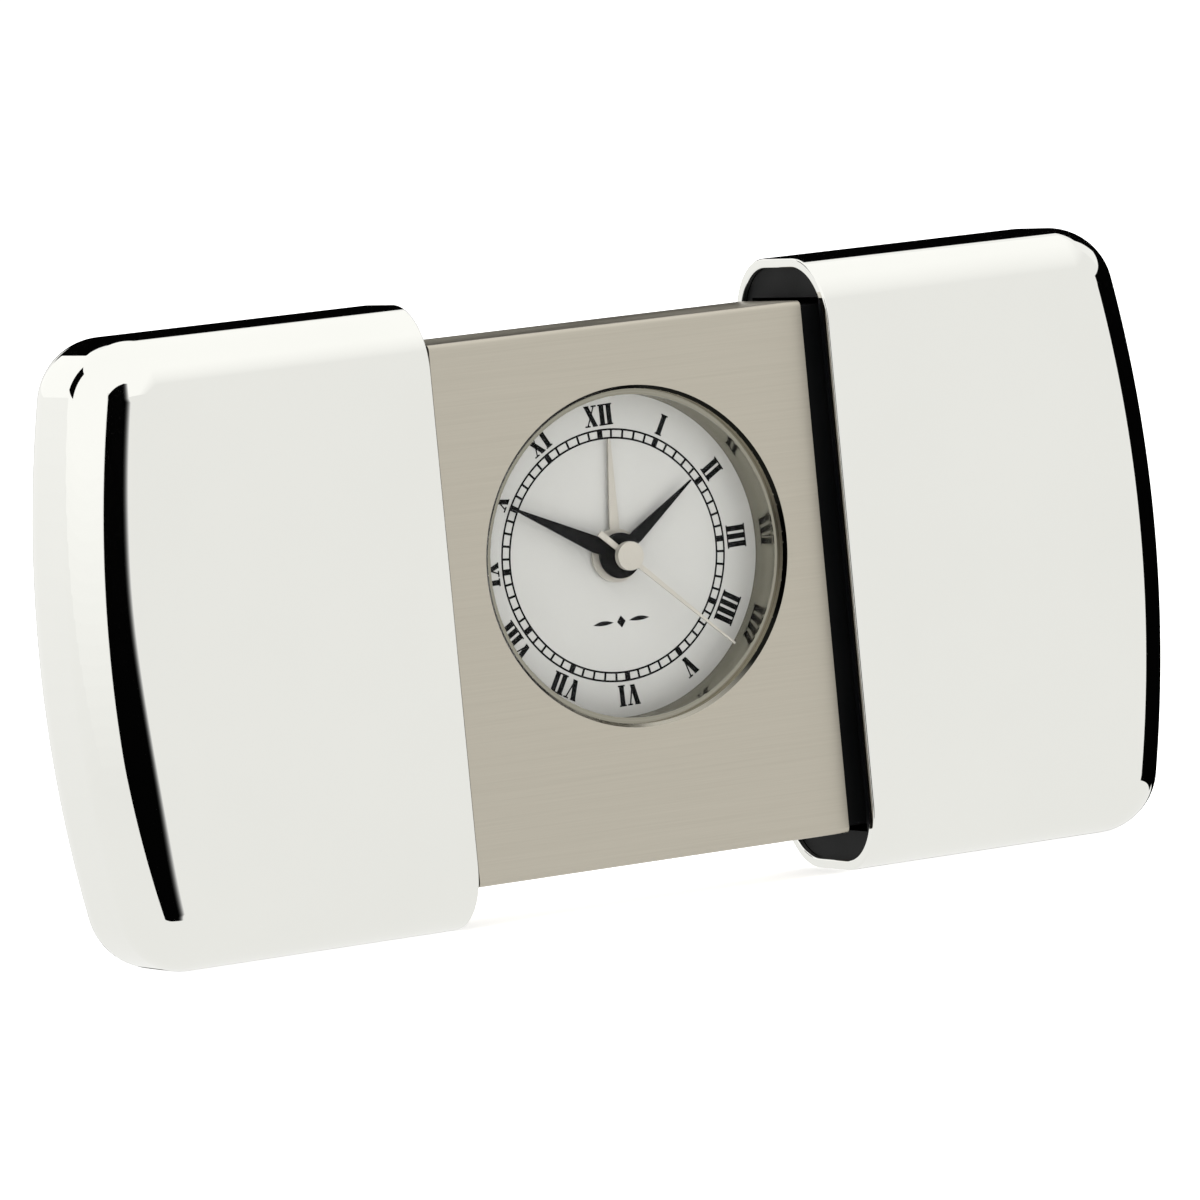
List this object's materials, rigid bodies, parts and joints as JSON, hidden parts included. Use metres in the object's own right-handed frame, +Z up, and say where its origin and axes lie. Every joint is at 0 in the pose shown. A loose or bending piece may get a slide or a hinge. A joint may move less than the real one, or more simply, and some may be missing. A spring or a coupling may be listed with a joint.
{
  "type": "sliding travel alarm clock",
  "caption": "Sliding travel alarm clock: two polished half shells slide out from a brushed face plate with a round analogue alarm dial.",
  "frame": {"origin": "under the middle of the open clock, on the plane that both shells stand on", "axes": "+X along the slide, to the right as seen from the front; +Y from the dial to the back; +Z up"},
  "size_m": [0.123, 0.019, 0.0624],
  "materials": {
    "polished_silver": "mirror polished silver plate",
    "liner_black": "fine satin black",
    "spring_steel": "bright spring steel",
    "case_black": "moulded satin black",
    "brushed_nickel": "brushed along the slide, satin nickel",
    "crystal_clear": "clear mineral glass",
    "reflector_chrome": "metallised plastic",
    "dial_silver": "fine sunray silver",
    "steel_screw": "blackened steel",
    "movement_grey": "filled plastic",
    "stator_iron": "bare soft iron",
    "bobbin_blue": "moulded",
    "copper_wire": "enamelled copper wire",
    "magnet_dark": "sintered magnet",
    "wheel_brass": "cut brass",
    "wheel_nylon": "natural acetal",
    "pipe_nickel": "nickelled brass",
    "board_green": "solder resist",
    "epoxy_black": "epoxy drop",
    "can_tin": "tinned can",
    "buzzer_black": "moulded",
    "cell_steel": "nickelled steel",
    "contact_gilt": "nickelled spring brass",
    "knob_black": "moulded",
    "switch_red": "moulded",
    "hand_black": "black lacquer",
    "hand_cream": "cream lacquer"
  },
  "bodies": {
    "carrier": {"carrier_case": "case_black", "face_plate": "brushed_nickel", "crystal_bezel": "reflector_chrome", "crystal": "crystal_clear", "reflector_ring": "reflector_chrome", "dial": "dial_silver", "rear_cover": "case_black", "rear_cover_screws": "steel_screw", "movement_front_plate": "movement_grey", "movement_back_plate": "movement_grey", "movement_screws": "steel_screw", "stator": "stator_iron", "coil_core": "stator_iron", "coil_bobbin": "bobbin_blue", "coil_winding": "copper_wire", "circuit_board": "board_green", "chip_blob": "epoxy_black", "quartz_can": "can_tin", "buzzer": "buzzer_black", "battery": "cell_steel", "contact_positive": "contact_gilt", "contact_negative": "contact_gilt"},
    "left_half": {"left_shell": "polished_silver", "left_liner": "liner_black", "left_detent_spring": "spring_steel"},
    "right_half": {"right_shell": "polished_silver", "right_liner": "liner_black", "right_detent_spring": "spring_steel"},
    "rotor": {"rotor": "magnet_dark"},
    "third": {"third_wheel": "wheel_brass"},
    "seconds": {"seconds_wheel": "wheel_brass", "second_hand": "hand_cream"},
    "fourth": {"fourth_wheel": "wheel_brass"},
    "centre": {"centre_wheel": "wheel_brass"},
    "minutes": {"cannon_pinion": "pipe_nickel", "minute_hand": "hand_black"},
    "motion_work": {"minute_wheel": "wheel_nylon"},
    "hours": {"hour_wheel": "wheel_nylon", "hour_hand": "hand_black"},
    "alarm": {"alarm_wheel": "wheel_nylon", "alarm_hand": "hand_cream"},
    "time_knob": {"time_set_knob": "knob_black"},
    "alarm_knob": {"alarm_set_knob": "knob_black"},
    "alarm_slider": {"alarm_switch": "switch_red"},
    "battery_lid": {"battery_cover": "case_black"}
  },
  "joints": [
    {"name": "left_slide", "type": "slide", "parent": "carrier", "child": "left_half", "axis": [1, 0, 0], "range_m": [0, 0.0225]},
    {"name": "right_slide", "type": "slide", "parent": "carrier", "child": "right_half", "axis": [-1, 0, 0], "range_m": [0, 0.0225]},
    {"name": "rotor_turn", "type": "hinge", "parent": "carrier", "child": "rotor", "pos_m": [-0.00741, 0, 0.02863], "axis": [0, 1, 0], "continuous": true},
    {"name": "third_turn", "type": "hinge", "parent": "carrier", "child": "third", "pos_m": [-0.0028, 0, 0.02995], "axis": [0, 1, 0], "continuous": true},
    {"name": "seconds_turn", "type": "hinge", "parent": "carrier", "child": "seconds", "pos_m": [0, 0, 0.0348], "axis": [0, 1, 0], "continuous": true},
    {"name": "fourth_turn", "type": "hinge", "parent": "carrier", "child": "fourth", "pos_m": [0.0027, 0, 0.03948], "axis": [0, 1, 0], "continuous": true},
    {"name": "centre_turn", "type": "hinge", "parent": "carrier", "child": "centre", "pos_m": [0, 0, 0.0348], "axis": [0, 1, 0], "continuous": true},
    {"name": "minutes_turn", "type": "hinge", "parent": "carrier", "child": "minutes", "pos_m": [0, 0, 0.0348], "axis": [0, 1, 0], "continuous": true},
    {"name": "motion_work_turn", "type": "hinge", "parent": "carrier", "child": "motion_work", "pos_m": [0.00485, 0, 0.032], "axis": [0, 1, 0], "continuous": true},
    {"name": "hours_turn", "type": "hinge", "parent": "carrier", "child": "hours", "pos_m": [0, 0, 0.0348], "axis": [0, 1, 0], "continuous": true},
    {"name": "time_knob_turn", "type": "hinge", "parent": "carrier", "child": "time_knob", "pos_m": [0.0097, 0, 0.0292], "axis": [0, 1, 0], "continuous": true},
    {"name": "alarm_knob_turn", "type": "hinge", "parent": "carrier", "child": "alarm_knob", "pos_m": [-0.00478, 0, 0.03756], "axis": [0, 1, 0], "continuous": true},
    {"name": "alarm_turn", "type": "hinge", "parent": "carrier", "child": "alarm", "pos_m": [0, 0, 0.0348], "axis": [0, 1, 0], "continuous": true},
    {"name": "alarm_switch_slide", "type": "slide", "parent": "carrier", "child": "alarm_slider", "axis": [1, 0, 0], "range_m": [0, 0.003]},
    {"name": "battery_cover_turn", "type": "hinge", "parent": "carrier", "child": "battery_lid", "pos_m": [0, 0, 0.01185], "axis": [0, 1, 0], "range_deg": [-45, 0]}
  ],
  "couplings": [
    {"joint": "third_turn", "follows": "rotor_turn", "ratio": -0.2},
    {"joint": "seconds_turn", "follows": "rotor_turn", "ratio": 0.033333},
    {"joint": "fourth_turn", "follows": "rotor_turn", "ratio": -0.0044444},
    {"joint": "centre_turn", "follows": "rotor_turn", "ratio": 0.00055556},
    {"joint": "motion_work_turn", "follows": "minutes_turn", "ratio": -0.33333},
    {"joint": "hours_turn", "follows": "minutes_turn", "ratio": 0.083333},
    {"joint": "time_knob_turn", "follows": "minutes_turn", "ratio": 1},
    {"joint": "alarm_turn", "follows": "alarm_knob_turn", "ratio": -0.2}
  ]
}
